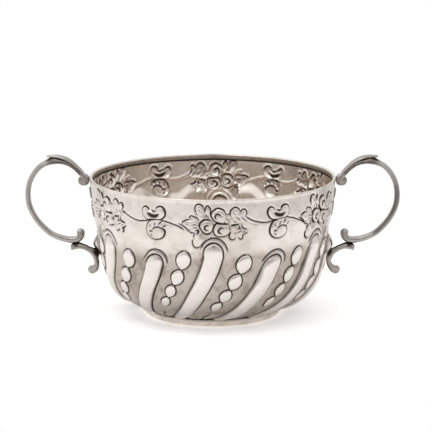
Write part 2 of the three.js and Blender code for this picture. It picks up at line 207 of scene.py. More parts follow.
STEM = [
    [(15.3, 7.6), (16.5, 8.5), (18, 9.4), (20, 10.1), (22, 10.6), (24, 10.9), (26, 11), (28, 10.7),
     (29.7, 10.5), (31.5, 9.8), (33, 9.5), (35, 9.4), (37, 9.4), (38.5, 9.8), (40, 10.1), (42, 10.7),
     (44, 11.4), (45.5, 11.8), (47.2, 12.6), (48.6, 13.6)],
]
FAINT_STEM = [
    [(14, 8), (16, 9.9), (18, 10.8), (20, 11.3), (22, 11.8)],
    [(31, 10.8), (33.5, 10.4), (36, 10.3), (38.5, 10.7), (41, 11.4), (43.5, 12.2)],
]
SCROLL_LINES = [
    SCROLL_LEFT + [(-32.3, 9.6), (-31.2, 10.1), (-29.5, 10.4)],
    [(-26.7, 5.6)] + SCROLL_RIGHT + [(-24.6, 9.3)],
    [(-29.3, 5.4), (-28.6, 5.9), (-27.4, 6.1), (-26.6, 5.7)],
    [(-28, 10.1), (-29.5, 9.9)] + SCROLL_LOW + [(-23.2, 13.9), (-24.2, 13.2), (-25.2, 12.8), (-26.4, 12.7),
     (-27.6, 13), (-28.5, 13.6), (-29.2, 14.3)],
]
SCROLL_DARK = [
    [(-31, 6.9), (-29.5, 7.3), (-28, 7.7), (-26.5, 7.6), (-24.8, 6.9)],
    [(-30.6, 7.5), (-29.4, 8), (-28, 8.3), (-26.6, 8.2), (-25.4, 7.7)],
    [(-30.6, 15), (-29.8, 14.9), (-29, 14.8)],
]
SCROLL_VEINS = [
    [(-29.9, 11.6), (-30.1, 12.9)],
    [(-27.3, 10.8), (-27.9, 12.3)],
    [(-25.7, 11.7), (-24.7, 10.8), (-23.6, 10.2)],
    [(-23.7, 13), (-23.2, 12.3), (-21.9, 11.8)],
    [(-30.2, 16.2), (-29, 17)],
]
CLUSTER_LINES = [
    LEFT_PETAL + [(-0.1, 13.6)],
    [(5.2, 10.6), (3.6, 10.5), (2.4, 10.2)] + TOP_PETAL + [(6.1, 5.9)],
    [(7.4, 10.9), (5.6, 10.7)] + LOW_PETAL + [(6, 16.1), (7.2, 15.6)],
    [(-7.1, 5.8), (-7.4, 5), (-7.8, 4), (-7.8, 2.8), (-7.2, 2), (-6.2, 1.7), (-5.2, 1.9), (-4.3, 2.6),
     (-3.8, 3.6)],
    BUD + [(-0.8, 5.2)],
    [(-9.6, 8.3), (-10.4, 7.4), (-9.6, 6.9), (-8, 7.4), (-7.2, 7.6), (-6.6, 8.2), (-6.1, 8.9)],
    [(-13.9, 10.4), (-14, 9.6), (-13, 9.2), (-12, 8.8), (-11.3, 8.7), (-10, 9)],
    [(-16, 10.4), (-14.5, 10.9), (-13.4, 11.6), (-12.2, 12.6), (-11.5, 13.5), (-10.4, 12.7)],
    [(-11.4, 13.7), (-10.5, 14.2), (-9.3, 14.6), (-8.4, 14.8)],
    [(-8.3, 14.8), (-8.9, 15.6), (-9, 16.4), (-8.4, 17)],
    [(-9.3, 17.4), (-9.6, 18.6), (-9.4, 19.6), (-8.8, 20.6), (-8, 21.2), (-7.2, 21.3), (-6.2, 20.9),
     (-5.5, 20.3)],
    [(8.7, 7.4), (8.2, 7)] + RIGHT_LEAF + [(12.9, 5.5)],
    [(13, 5.9), (13.4, 5), (14, 4.6), (14.8, 4.5), (15.6, 5), (15.9, 5.8), (15.7, 6.7), (15.1, 7.5)],
    [(8, 12), (9, 11.6), (10, 11.4), (12, 11.2)],
    [(12, 11), (12.1, 12.2), (12.6, 12.8), (11, 13)],
    [(8.3, 14.2), (7.7, 15.2), (7.5, 16.2), (7.8, 17.1), (8.6, 17.9), (9.6, 18), (10.5, 17.5), (11, 16.9)],
    [(12, 16.9), (12.6, 17.7), (13.4, 18), (14.1, 17.3), (14.2, 16.5), (13.8, 16.1), (14.6, 15.7),
     (15.6, 15.2), (16.6, 14.8)],
    [(13.3, 11), (13.6, 12.4), (14.8, 13.2), (16.2, 13.6)],
]
CLUSTER_DARK = [
    [(-1.7, 10.6), (-3, 10.9), (-3.7, 11.5), (-3.8, 12.2), (-3.2, 12.8), (-2.2, 13.1)],
    [(1.8, 8.3), (1.3, 7.3), (1.5, 6.5), (2, 6), (2.8, 6), (3.5, 6.5), (4.2, 7)],
    [(5, 12.4), (4, 12.2), (3, 12.6), (2.4, 13.4), (2.9, 14.3), (4, 14.8)],
    [(7.5, 12.2), (7.9, 13.2)],
    [(6.3, 6.2), (7.2, 6.4), (7.7, 6.2)],
    [(-8.1, 13.7), (-7.4, 13.2), (-6.7, 13.8), (-7.1, 14.7), (-7.9, 14.7)],
]
CLUSTER_VEINS = [
    [(-5.3, 6.4), (-4.6, 7.3), (-4, 8)],
    [(-4.2, 6.1), (-3.4, 7.1), (-2.8, 8)],
    [(-3, 6), (-2.2, 7), (-1.6, 7.8)],
    [(-8, 6.2), (-6.4, 6.2)],
    [(-10, 10.9), (-8, 10.7), (-6.4, 10.9)],
    [(-9.5, 12.1), (-8, 12), (-6.6, 12.2)],
    [(-12.4, 10.6), (-11, 10.3)],
    [(-6.4, 15.6), (-5.3, 14.8)],
    [(-6.2, 16.6), (-5, 15.3)],
    [(-5.5, 17.4), (-4.4, 15.8)],
    [(-4.5, 17.8), (-3.6, 16)],
    [(-3.4, 17.6), (-3, 16)],
    [(-2.4, 17.2), (-2.2, 16.1)],
    [(10.8, 7.3), (11.9, 8.2), (12.8, 9.3)],
    [(9.5, 8.8), (10.5, 9.7), (11.5, 10.3)],
    [(13.2, 7.4), (14.6, 8.9), (16, 10.2)],
    [(6.2, 7.8), (7.2, 9.2), (8.5, 10.2)],
    [(11.2, 14.8), (12.5, 14.1), (13.7, 13.6)],
    [(13.3, 14.9), (14.4, 14.4), (15.4, 14.1)],
    [(9.7, 15.2), (10.9, 14.2)],
    [(9.6, 5.3), (10.6, 6.3)],
    [(-6, 3.6), (-5.2, 4.8)],
]
# Raised shapes: outline, height, width of the rounded shoulder
BOSSES = [
    (LEFT_PETAL + [(0, 13), (0.5, 11.5), (0.2, 10)], 0.85, 2.0),
    ([(5.2, 10.5), (3.6, 10.4), (2.4, 10.1)] + TOP_PETAL + [(6.2, 6.1), (6.4, 7.6), (6.1, 9.2)], 0.9, 2.2),
    ([(7.2, 10.9)] + LOW_PETAL + [(6, 16), (7.2, 15.2), (7.9, 13.8), (7.9, 12.2)], 0.85, 2.2),
    ([(-7.1, 5.8), (-7.8, 4), (-7.8, 2.8), (-7.2, 2), (-6.2, 1.7), (-5.2, 1.9), (-4.3, 2.6), (-3.7, 3.9),
     (-3.2, 6), (-2, 8), (-3.6, 8.3), (-5.4, 7.2)], 0.5, 1.3),
    (BUD + [(-0.8, 5.6), (-0.5, 7.2), (-2, 7.2)], 0.5, 1.0),
    ([(-16, 10.4), (-13.9, 10.3), (-13.6, 9.4), (-12, 8.8), (-10, 9), (-7, 9.2), (-6.2, 11), (-6.2, 12.8),
     (-7.5, 13.4), (-9.3, 14.5), (-11.4, 13.6), (-12.2, 12.6), (-13.6, 11.4)], 0.45, 1.4),
    ([(-7.8, 13.1), (-4.6, 14.6), (-3.2, 15.2), (-1, 15), (-0.2, 15.8), (-2, 17.4), (-4.4, 18.4),
     (-5.5, 20.3), (-6.2, 20.9), (-7.2, 21.3), (-8, 21.2), (-8.8, 20.6), (-9.4, 19.6), (-9.5, 18.4),
     (-9, 16.6), (-8.7, 15)], 0.5, 1.5),
    ([(8.6, 7.6)] + RIGHT_LEAF + [(12.9, 5.6), (13.4, 5), (14, 4.6), (14.8, 4.5), (15.6, 5), (15.9, 5.8),
     (15.5, 7), (16.5, 8.6), (15.8, 10.2), (13.4, 10.6), (10.5, 10.9), (8, 11), (6.6, 9.4),
     (6.6, 7.6)], 0.5, 1.6),
    ([(8, 12), (10, 11.4), (12, 11.2), (13.6, 11.2), (14.6, 12.9), (16.4, 13.8), (16.6, 14.7), (14.6, 15.7),
     (14.2, 16.8), (13.4, 18), (12.4, 17.6), (11.2, 16.8), (10.5, 17.5), (9.6, 18), (8.6, 17.9), (7.8, 17.1),
     (7.5, 16.2), (7.9, 14.6), (8.4, 13.2)], 0.5, 1.5),
    (SCROLL_LEFT + [(-32, 9.8), (-29.5, 10.2), (-26, 10)] + SCROLL_RIGHT[::-1] + [(-26.8, 5.9),
     (-28.4, 6)], 0.6, 1.2),
    ([(-29.5, 10)] + SCROLL_LOW + [(-23.2, 13.8), (-22.2, 12), (-24, 10.4), (-27, 10.2)], 0.6, 1.6),
]


def curve_through(points):
    """Points on a smooth curve through the given ones, about CURVE_STEP apart."""
    p = np.array(points, float)
    if len(p) < 3:
        n = max(2, int(np.hypot(*(p[-1] - p[0])) / CURVE_STEP) + 1)
        return np.linspace(p[0], p[-1], n)
    q = np.concatenate([[2 * p[0] - p[1]], p, [2 * p[-1] - p[-2]]])
    t = np.linspace(0, 1, 12, endpoint=False)[:, None]
    parts = []
    for a, b, c, d in zip(q, q[1:], q[2:], q[3:]):
        square = (2 * a - 5 * b + 4 * c - d) * t**2
        cube = (3 * b - a - 3 * c + d) * t**3
        parts.append(0.5 * (2 * b + (c - a) * t + square + cube))
    fine = np.concatenate(parts + [p[-1:]])
    at = lengths(fine)
    n = max(2, int(at[-1] / CURVE_STEP) + 1)
    return np.stack([np.interp(np.linspace(0, at[-1], n), at, fine[:, i]) for i in (0, 1)], 1)


def near(x, s, line, reach):
    """Which points lie in the line's box, grown by reach on all sides."""
    low, high = line.min(0) - reach, line.max(0) + reach
    return np.nonzero((x > low[0]) & (x < high[0]) & (s > low[1]) & (s < high[1]))[0]


def distance(px, ps, line):
    """Distance of each point from a polyline, and the share of the line's length at the nearest place."""
    a, d = line[:-1], np.diff(line, axis=0)
    size = np.maximum((d**2).sum(1), 1e-12)
    t = ((px[:, None] - a[:, 0]) * d[:, 0] + (ps[:, None] - a[:, 1]) * d[:, 1]) / size
    t = np.clip(t, 0, 1)
    gap = np.hypot(px[:, None] - a[:, 0] - t * d[:, 0], ps[:, None] - a[:, 1] - t * d[:, 1])
    k = gap.argmin(1)
    rows = np.arange(len(px))
    return gap[rows, k], (k + t[rows, k]) / len(d)


def inside(px, ps, ring):
    """Whether each point lies within a closed ring."""
    a, b = ring, np.roll(ring, -1, 0)
    crosses = (a[:, 1] > ps[:, None]) != (b[:, 1] > ps[:, None])
    rise = np.where(np.abs(b[:, 1] - a[:, 1]) < 1e-9, 1e-9, b[:, 1] - a[:, 1])
    at = a[:, 0] + (ps[:, None] - a[:, 1]) * (b[:, 0] - a[:, 0]) / rise
    return (crosses & (px[:, None] < at)).sum(1) % 2 == 1


# Sets of strokes, with their depth and half width in mm and their darkness
SETS = [
    (STEM, 0.34, 0.38, 1.0),
    (FAINT_STEM, 0.12, 0.26, 0.35),
    (SCROLL_LINES, 0.36, 0.38, 1.0),
    (SCROLL_DARK, 0.4, 0.64, 1.0),
    (SCROLL_VEINS, 0.36, 0.42, 1.0),
    (CLUSTER_LINES, 0.36, 0.37, 1.0),
    (CLUSTER_DARK, 0.42, 0.52, 1.0),
    (CLUSTER_VEINS, 0.28, 0.3, 0.85),
]
TO_MM = (DEGREE_AT_BAND, 1)
STROKES = [(curve_through(np.multiply(p, TO_MM)), *rest) for lines, *rest in SETS for p in lines]
RINGS = [(curve_through(np.multiply(p + p[:1], TO_MM)), *rest) for p, *rest in BOSSES]
# How the repeats stray at random. The one in front keeps its place, as it was traced.
band_hand = rng.normal(0, 1, (REPEATS, 8))
BAND_STRAY = {5: -1.8}  # degrees by which a repeat of the band is off its place


def chased_band(theta, s):
    """Height and darkness of the flowers, scrolls and stems, for flat arrays of degrees and mm."""
    height, groove, dark = (np.zeros_like(s) for _ in range(3))
    for k in range(REPEATS):
        off = around(theta - REPEAT_ANGLE * k - BAND_STRAY.get(k, 0))
        j = band_hand[k] * (k != 0)
        x = off * DEGREE_AT_BAND * (1 + 0.012 * j[0]) + 0.22 * j[1] + 0.18 * np.sin(s * 0.33 + j[2])
        y = s + 0.22 * j[3] + 0.2 * np.sin(off * 0.11 + j[4]) + 0.06 * np.sin(off * 0.5 + j[5])
        todo = np.nonzero((np.abs(off) < BAND_HALF) & (s < BAND_END))[0]
        xs, ys = x[todo], y[todo]
        raised = np.zeros(len(todo))
        for ring, tall, shoulder in RINGS:
            pick = near(xs, ys, ring, 0.1)
            pick = pick[inside(xs[pick], ys[pick], ring)]
            gap, _ = distance(xs[pick], ys[pick], ring)
            dome = tall * np.sqrt(np.clip(1 - (1 - np.clip(gap / shoulder, 0, 1)) ** 2, 0, 1))
            raised[pick] = np.maximum(raised[pick], 1.3 * dome)
        height[todo] = np.maximum(height[todo], raised)
        for line, deep, wide, tarnish_and_shade in STROKES:
            pick = near(xs, ys, line, 3 * wide)
            gap, share = distance(xs[pick], ys[pick], line)
            ends = 0.45 + 0.55 * smooth(np.minimum(share, 1 - share) * len(line) / 5)
            shape = bell(gap, wide * ends) * (0.75 + 0.25 * ends)
            at = todo[pick]
            groove[at] = np.maximum(groove[at], deep * shape)
            dark[at] = np.maximum(dark[at], tarnish_and_shade * shape)
    return height - groove, dark


flute_hand = rng.normal(0, 1, (FLUTES, 6))
chain_hand = rng.normal(0, 1, (FLUTES, 4))
# Degrees and mm down the wall by which a flute or chain is off its place. The others stray at random.
FLUTE_STRAY = {0: (0.4, 0.0), 1: (2.4, 0.8), 2: (1.0, 1.7), 10: (-2.0, 2.0), 11: (1.2, 0.3)}
CHAIN_STRAY = {0: (0.5, 0.6), 1: (1.3, -0.3), 10: (-1.7, 1.0), 11: (0.0, -1.3)}
FLUTE_TOPS = (19.4, 25.6)  # mm down the wall, by turns
FLUTE_HEIGHT = 1.3
SIDE_HEADS = {3: 2.3, 9: 2.3}  # mm more for the heads beside the handles
# A flute's half width, fitted to these half widths at these lengths down the wall, in mm
FLUTE_HALF = np.poly1d(np.polyfit([20, 30, 46, 56, 64, 68], [4.4, 4.45, 4.15, 3.8, 3.25, 3.0], 3))
HEAD_LENGTH = 5.0
CROWN_LENGTH = 7
FLUTE_CUT = 0.42  # depth of the groove round a flute
RING_ASIDE = 1.85  # mm from a head out to the crescent round it, at the sides and above
RING_ABOVE = 2.45
RING_CUT = 0.36
RING_HEIGHT = 0.3
# A chain's beads meet at these points: degrees aside and mm down the wall. Then each bead's half width.
BEAD_TIPS = [(1.9, 24.6), (1.4, 33.5), (0.5, 40.9), (0.2, 47.4), (0.0, 53.6)]
BEAD_WIDTHS = (3.65, 3.2, 2.75, 2.35)
BEAD_HEIGHT = 0.27  # of the half width
BEAD_CUT = 0.34
SHORT_CUT = 0.4
SHORT_CUT_ANGLE = 16.5  # degrees from the middle of the flute before it
SHORT_CUT_START = 56
HOLLOW_DEPTH = 0.34  # mm by which the ground beside the flutes and beads lies lower


class Ornament:
    """The embossing gathered so far: height, cut depth, darkness of lines and painted shade, dullness of
    hollows with painted shade, and polish.
    """

    def __init__(self, size):
        self.height, self.cut, self.dark, self.hollow, self.shine = (np.zeros(size) for _ in range(5))

    def most(self, word, at, values):
        """Raises a layer to the given values where it is lower."""
        layer = getattr(self, word)
        layer[at] = np.maximum(layer[at], values)


def add_flute(o, i, u, s, r):
    """A flute with the groove round it, the ground beside it, dull with tarnish and painted shade, and the
    crescent round its head.

    Angles u are in the swirl's own layout. From here on x is mm across the flute and y mm down the wall."""
    j = flute_hand[i]
    aside, down = FLUTE_STRAY.get(i, (0.9 + 0.6 * j[0], 0.5 * j[1]))
    off = around(u - FLUTE_ANGLE * i - aside)
    top = FLUTE_TOPS[i % 2] + down
    at = np.nonzero((np.abs(off) < 13) & (s > top - 6) & (s < RUN_OUT))[0]
    y = s[at]
    x = np.radians(off[at]) * r[at] + 0.12 * np.sin(y * 0.31 + j[2])
    left = x < 0
    half = FLUTE_HALF(np.clip(y, 20, 68)) * (1 + 0.02 * j[3])
    rho = np.hypot(x / half, np.clip((top + HEAD_LENGTH - y) / HEAD_LENGTH, 0, None))
    gap = (rho - 1) * half
    head = smooth((top + HEAD_LENGTH + 0.5 - y) / 4)
    ending = smooth((RUN_OUT - y) / 6)
    # The body, highest along its middle and lower towards the foot
    tail = (0.3 + 0.7 * smooth((FOOT_SEAT - y) / 10)) * ending
    crown = np.hypot(x / half, np.clip((top + CROWN_LENGTH - y) / CROWN_LENGTH, 0, None) ** 1.5)
    tall = FLUTE_HEIGHT * tail + SIDE_HEADS.get(i, 0) * bell(y - top - 3.6, 4.2)
    o.most("height", at, tall * np.clip(1 - crown**2.2, 0, None) ** 0.8)
    o.most("shine", at, smooth(-gap / 0.9) * ending)
    if i in SIDE_HEADS:
        rim = (1 - smooth(-gap / 2.0)) * (gap < 0.3) * smooth((top + 10 - y) / 3)
        o.most("dark", at, np.maximum(0.5 * rim, 0.6 * bell(y - top - 7.5, 2.2) * (gap < 0)))
    # The outline: a soft groove on the left that hardens round the head, and a crisp one on the right. Its
    # tarnished line is made paler on the left by painted light.
    wide = np.where(left, 0.36, 0.3 + 0.16 * smooth((y - 46) / 14))
    line = bell(gap - np.where(left, 0, 0.15), wide) * ending
    o.most("cut", at, FLUTE_CUT * line)
    o.most("dark", at, line * np.where(left, 0.62 + 0.25 * head, 1.0))
    # Painted shade: a soft dark band just inside the flute's left edge, below the head
    o.most("dark", at, 0.32 * bell(gap + 0.4, 0.6) * left * smooth((y - top - 2) / 5) * ending)
    # Painted reflection: a dark patch inside the outline at the top of the head
    o.most("dark", at, 0.42 * bell(gap + 0.55, 0.5) * smooth((top + 2.6 - y) / 2))
    # The ground beside it, sunk and dull with tarnish, and wider and darker on the left with painted shade
    beside = ending * bell(np.clip(gap, 0, None), np.where(left, 2.9, 2.3))
    beside = beside * (rho > 1) * np.where(left, 1.0, 0.6)
    o.most("hollow", at, beside * smooth((y - top - 1) / 6))
    # Painted shade on the ground to the left of the flute
    o.most("dark", at, 0.4 * beside * left * smooth((y - top - 2) / 6))
    # The crescent round the head: a cut, a slope inside it darkened by tarnish and painted shade, then a
    # bright raised ring
    wider, longer = half + RING_ASIDE, HEAD_LENGTH + RING_ABOVE
    outer = np.hypot((x - 0.3) / wider, np.clip((top + HEAD_LENGTH - y) / longer, 0, None))
    arc = (outer - 1) * wider
    ends = smooth((top + np.where(left, 3.6, 4.8) + 0.6 - y) / 2.6)
    cut = bell(arc, 0.36) * ends
    slope = np.clip(1 + arc / 1.5, 0, 1) * (arc < 0) * ends
    ring = bell(gap - 0.95, 0.42) * head
    o.most("cut", at, RING_CUT * cut)
    o.most("dark", at, 0.85 * cut)
    # Tarnish and painted shade on the slope inside the crescent
    o.most("dark", at, 0.66 * slope)
    o.height[at] += RING_HEIGHT * ring * (arc < 0)
    o.most("shine", at, 0.7 * ring * (arc < 0))


def add_chain(o, i, theta, s):
    """A chain of pointed beads between two flutes, each from one tip to the next."""
    j = chain_hand[i]
    aside, down = CHAIN_STRAY.get(i, (0.6 * j[0], 0.7 * j[1]))
    middle_angle = FLUTE_ANGLE * (i + 0.5)
    tips = [(middle_angle + u + aside + float(swirl(y + down)), y + down) for u, y in BEAD_TIPS]
    for n, (a, b) in enumerate(zip(tips, tips[1:])):
        middle = np.add(a, b) / 2
        near_r = float(ground(middle[1])[0])
        axis = np.array([math.radians(b[0] - a[0]) * near_r, b[1] - a[1]])
        half = float(np.hypot(*axis)) / 2
        axis /= 2 * half
        off = around(theta - middle[0])
        at = np.nonzero((np.abs(off) < 9) & (np.abs(s - middle[1]) < half + 1.5))[0]
        x = np.radians(off[at]) * near_r
        y = s[at] - middle[1]
        share = (x * axis[0] + y * axis[1]) / half
        across = np.abs(x * axis[1] - y * axis[0])
        blunt = np.where(share < 0, 0.62, 0.72) if n == 0 else 0.74
        wide = BEAD_WIDTHS[n] * (1 + 0.04 * j[2])
        rest = np.clip(1 - share**2, 0, None)
        edge = wide * rest**blunt
        steep = 2 * blunt * wide * np.abs(share) / half * np.clip(rest, 0.06, None) ** (blunt - 1)
        beside = (across - edge) / np.sqrt(1 + np.minimum(2.4, steep) ** 2)
        gap = np.where(rest > 0, beside, np.hypot(across, (np.abs(share) - 1) * half))
        line = bell(gap, 0.31)
        full = np.clip(1 - (across / np.maximum(edge, 0.01)) ** 2.2, 0, None) ** 0.7
        o.most("height", at, BEAD_HEIGHT * wide * full * rest**0.4)
        o.most("cut", at, BEAD_CUT * line)
        o.most("dark", at, line)
        o.most("shine", at, smooth(-gap / 0.7) * (rest > 0))
        o.most("hollow", at, 0.7 * bell(np.clip(gap, 0, None), 1.6))


def add_short_cut(o, i, u, s, r):
    """A short cut between the flutes, under the last bead."""
    off = around(u - FLUTE_ANGLE * i - SHORT_CUT_ANGLE)
    at = np.nonzero((np.abs(off) < 4) & (s > SHORT_CUT_START) & (s < FOOT_SEAT))[0]
    y = s[at]
    x = np.radians(off[at]) * r[at] - 0.03 * (y - 60) ** 2
    cut = bell(x, 0.55) * smooth((y - 56.5) / 1.5) * smooth((FOOT_SEAT + 1.5 - y) / 2)
    o.most("cut", at, SHORT_CUT * cut)
    o.most("dark", at, cut)


def embossing(theta, s, r):
    """The flutes, the chains of beads and the cuts between them, for flat arrays of degrees, mm and radii."""
    u = theta - swirl(s)
    o = Ornament(len(s))
    for i in range(FLUTES):
        add_flute(o, i, u, s, r)
        add_chain(o, i, theta, s)
        add_short_cut(o, i, u, s, r)
    return o


waves = [
    (int(rng.integers(3, 26)), rng.uniform(0.02, 0.45), rng.uniform(0, 6.28), rng.uniform(0.4, 1.0))
    for _ in range(26)
]


def hammering(theta, s):
    """The slight unevenness of a hand-raised wall."""
    total = sum(tall * np.sin(k * np.radians(theta) + per_mm * s + start) for k, per_mm, start, tall in waves)
    return 0.018 * total * smooth((s - 0.6) / 4) * smooth((TOTAL - s - 8) / 24)


def drawn_in(theta, s):
    """Share by which the wall is drawn in, in an arc above each chain of beads."""
    half_angle = REPEAT_ANGLE / 2
    off = np.abs((theta + half_angle) % REPEAT_ANGLE - half_angle)
    start = 12.8 + 4.5 * smooth((off - 15) / 9) + 1.5 * smooth((12 - off) / 5)
    down = smooth((s - start) / 5.2) * smooth((start + 11.5 - s) / 5)
    return down * smooth((off - 6.5) / 3) * smooth((29 - off) / 4)


def relief(theta, s):
    """Height over the ground, darkness of the grooves and painted shade, dullness with painted shade, and
    polish, for a grid of points.
    """
    t, y = laid_out(theta.ravel()), s.ravel()
    band, tarnish_and_shade = chased_band(t, y)
    o = embossing(t, y, ground(y)[0])
    emboss = o.height - o.cut - HOLLOW_DEPTH * o.hollow
    height = np.where((band > 0) & (emboss > 0), np.maximum(band, emboss), band + emboss)
    height = height * smooth((y - 0.9) / 1.2) + hammering(theta.ravel(), y) - 0.25 * drawn_in(t, y)
    # Dull with tarnish, more so down the wall, and with the painted shade beside the flutes
    dull_and_shade = np.maximum(o.hollow, 0.93 * smooth((y - 21) / 9)) * smooth((RUN_OUT - y) / 5)
    dull_and_shade = np.maximum(dull_and_shade, smooth((y - 52) / 12) * 0.85) * (1 - o.shine)
    dark = np.maximum(np.maximum(tarnish_and_shade, o.dark), bell(y - FOOT_SEAT - 0.05, 0.42))
    return [v.reshape(theta.shape) for v in (height, dark, dull_and_shade, o.shine)]


# Meshes

POLE_GAP = 0.6  # mm from a closed mesh's last row to its pole
SHARP = 40  # degrees between faces from which an edge is drawn sharp


def linked(name, data):
    """A new object in the scene."""
    ob = bpy.data.objects.new(name, data)
    bpy.context.scene.collection.objects.link(ob)
    return ob


def make_mesh(name, verts, loops, starts, uv=None, sharp=None):
    mesh = bpy.data.meshes.new(name)
    mesh.vertices.add(len(verts))
    mesh.vertices.foreach_set("co", (np.asarray(verts) * MM).astype(np.float32).ravel())
    mesh.loops.add(len(loops))
    mesh.loops.foreach_set("vertex_index", np.asarray(loops, np.int32))
    mesh.polygons.add(len(starts))
    mesh.polygons.foreach_set("loop_start", np.asarray(starts, np.int32))
    mesh.update(calc_edges=True)
    mesh.polygons.foreach_set("use_smooth", np.ones(len(starts), bool))
    if uv is not None:
        layer = mesh.uv_layers.new(name="OFBake")
        layer.uv.foreach_set("vector", uv.astype(np.float32).ravel())
    if sharp is not None:
        mesh.set_sharp_from_angle(angle=math.radians(sharp))
    return linked(name, mesh)


def attribute(ob, name, values):
    """Stores a value for each vertex, for the materials to read."""
    layer = ob.data.attributes.new(name, "FLOAT", "POINT")
    layer.data.foreach_set("value", values.astype(np.float32).ravel())


def ring_faces(rows, cols):
    """Quads between rows of a grid closed round its columns, then a fan at each end to a pole."""
    i, j = np.meshgrid(np.arange(rows - 1), np.arange(cols), indexing="ij")
    k = (j + 1) % cols
    quads = np.stack([i * cols + j, i * cols + k, (i + 1) * cols + k, (i + 1) * cols + j], -1).reshape(-1, 4)
    c = np.arange(cols)
    first, last = rows * cols, rows * cols + 1
    end = (rows - 1) * cols
    fans = np.concatenate([
        np.stack([np.full(cols, first), (c + 1) % cols, c], 1),
        np.stack([end + c, end + (c + 1) % cols, np.full(cols, last)], 1),
    ])
    loops = np.concatenate([quads.ravel(), fans.ravel()])
    starts = np.concatenate([np.arange(len(quads)) * 4, 4 * len(quads) + np.arange(len(fans)) * 3])
    return loops, starts


def ring_uv(rows, cols, v):
    """One UV for each corner of ring_faces: round the ring, and v down the rows."""
    u = np.arange(cols) / cols
    step = 1 / cols
    i, j = np.meshgrid(np.arange(rows - 1), np.arange(cols), indexing="ij")
    a, b = v[i], v[i + 1]
    quads = np.stack([u[j], a, u[j] + step, a, u[j] + step, b, u[j], b], -1)
    top, first, last, end = (np.full(cols, level) for level in (0.0, v[0], v[-1], 1.0))
    top_fan = np.stack([u + step / 2, top, u + step, first, u, first], 1)
    end_fan = np.stack([u, last, u + step, last, u + step / 2, end], 1)
    return np.concatenate([part.reshape(-1, 2) for part in (quads, top_fan, end_fan)])


def rows_down(lip, band_start, band, flutes, base):
    """Rows of the bowl's mesh in mm down the wall: the lip's, and that many for the band, flutes and base."""
    flute_start, flute_end = 24, FOOT_SEAT + 1.5
    return np.concatenate([
        lip,
        np.linspace(band_start, flute_start, band, endpoint=False),
        np.linspace(flute_start, flute_end, flutes, endpoint=False),
        np.linspace(flute_end, TOTAL - POLE_GAP, base),
    ])


OUTER_ROWS = rows_down(np.linspace(0.55, 2.6, 8, endpoint=False), 2.6, 90, 146, 16)
INNER_ROWS = rows_down([0.42, 0.6, 0.95, 1.3, 1.6, 1.9, 2.15, 2.35, 2.5, 2.65, 2.85, 3.1], 3.5, 52, 84, 14)
# The rows over the lip's edge: mm down from it, and mm inwards
EDGE_ROWS = np.array([0.25, 0.06, 0.0, 0.0, 0.06, 0.2])
EDGE_INWARDS = np.array([0.0, 0.12, 0.28, 0.6, 0.82, 0.98])
# The lip's section: mm down from its edge, and the wall's thickness there
LIP_DEPTHS = [0.2, 0.42, 0.6, 1.3, 1.9, 2.35, TOTAL]
LIP_WALLS = [0.95, 1.3, 1.36, 1.1, 0.96, WALL, WALL]
LIP_SEAM = 2.5
LIP_RISE = 0.4  # mm by which the lip stands higher at the back


def grid(rows):
    """Angle and mm down the wall, for a grid whose columns follow the swirl."""
    columns = np.arange(COLUMNS) * 360 / COLUMNS
    return columns[None, :] + swirl(rows)[:, None], np.repeat(rows[:, None], COLUMNS, 1)


def place(theta, s, lift):
    """Points of the wall, lifted off it along its normal."""
    r, z, nr, nz = ground(s)
    z = z + LIP_RISE * bell(around(theta - 180), 7) * smooth((5 - s) / 5)
    a = np.radians(theta)
    radius = r + nr * lift
    return np.stack([radius * np.sin(a), -radius * np.cos(a), z + nz * lift], -1)


def tarnish_and_shade_inside(height, tarnish_and_shade, s):
    """Inside, the raised shapes are hollows that hold tarnish, with painted shade under each cut and on their
    sides that face down, and a dark seam runs under the lip.
    """
    hollows = smooth((height - 0.22) / 0.25) * smooth((1.15 - height) / 0.5)
    # Tarnish and painted shade: each cut's dark is laid again two rows further down the wall, within raised
    # shapes
    strokes = np.concatenate([tarnish_and_shade[:2] * 0, tarnish_and_shade[:-2]]) * smooth((height - 0.1) / 0.2)
    # Painted shade: darker on the side of each hollow that faces down
    facing_down = smooth(np.gradient(height, INNER_ROWS, axis=0) / 0.6) * smooth(height / 0.25)
    dark_inside = np.maximum(np.maximum(0.36 * hollows, 0.95 * strokes), 0.8 * facing_down)
    dark_inside = dark_inside * (0.25 + 0.75 * smooth((60 - s) / 14))
    edge = 0.3 + 0.2 * smooth((s - 0.4) / 1.5) * smooth((2.3 - s) / 0.4)
    return np.maximum(np.maximum(dark_inside, bell(s - LIP_SEAM, 0.5)), edge * (s < 2.4))


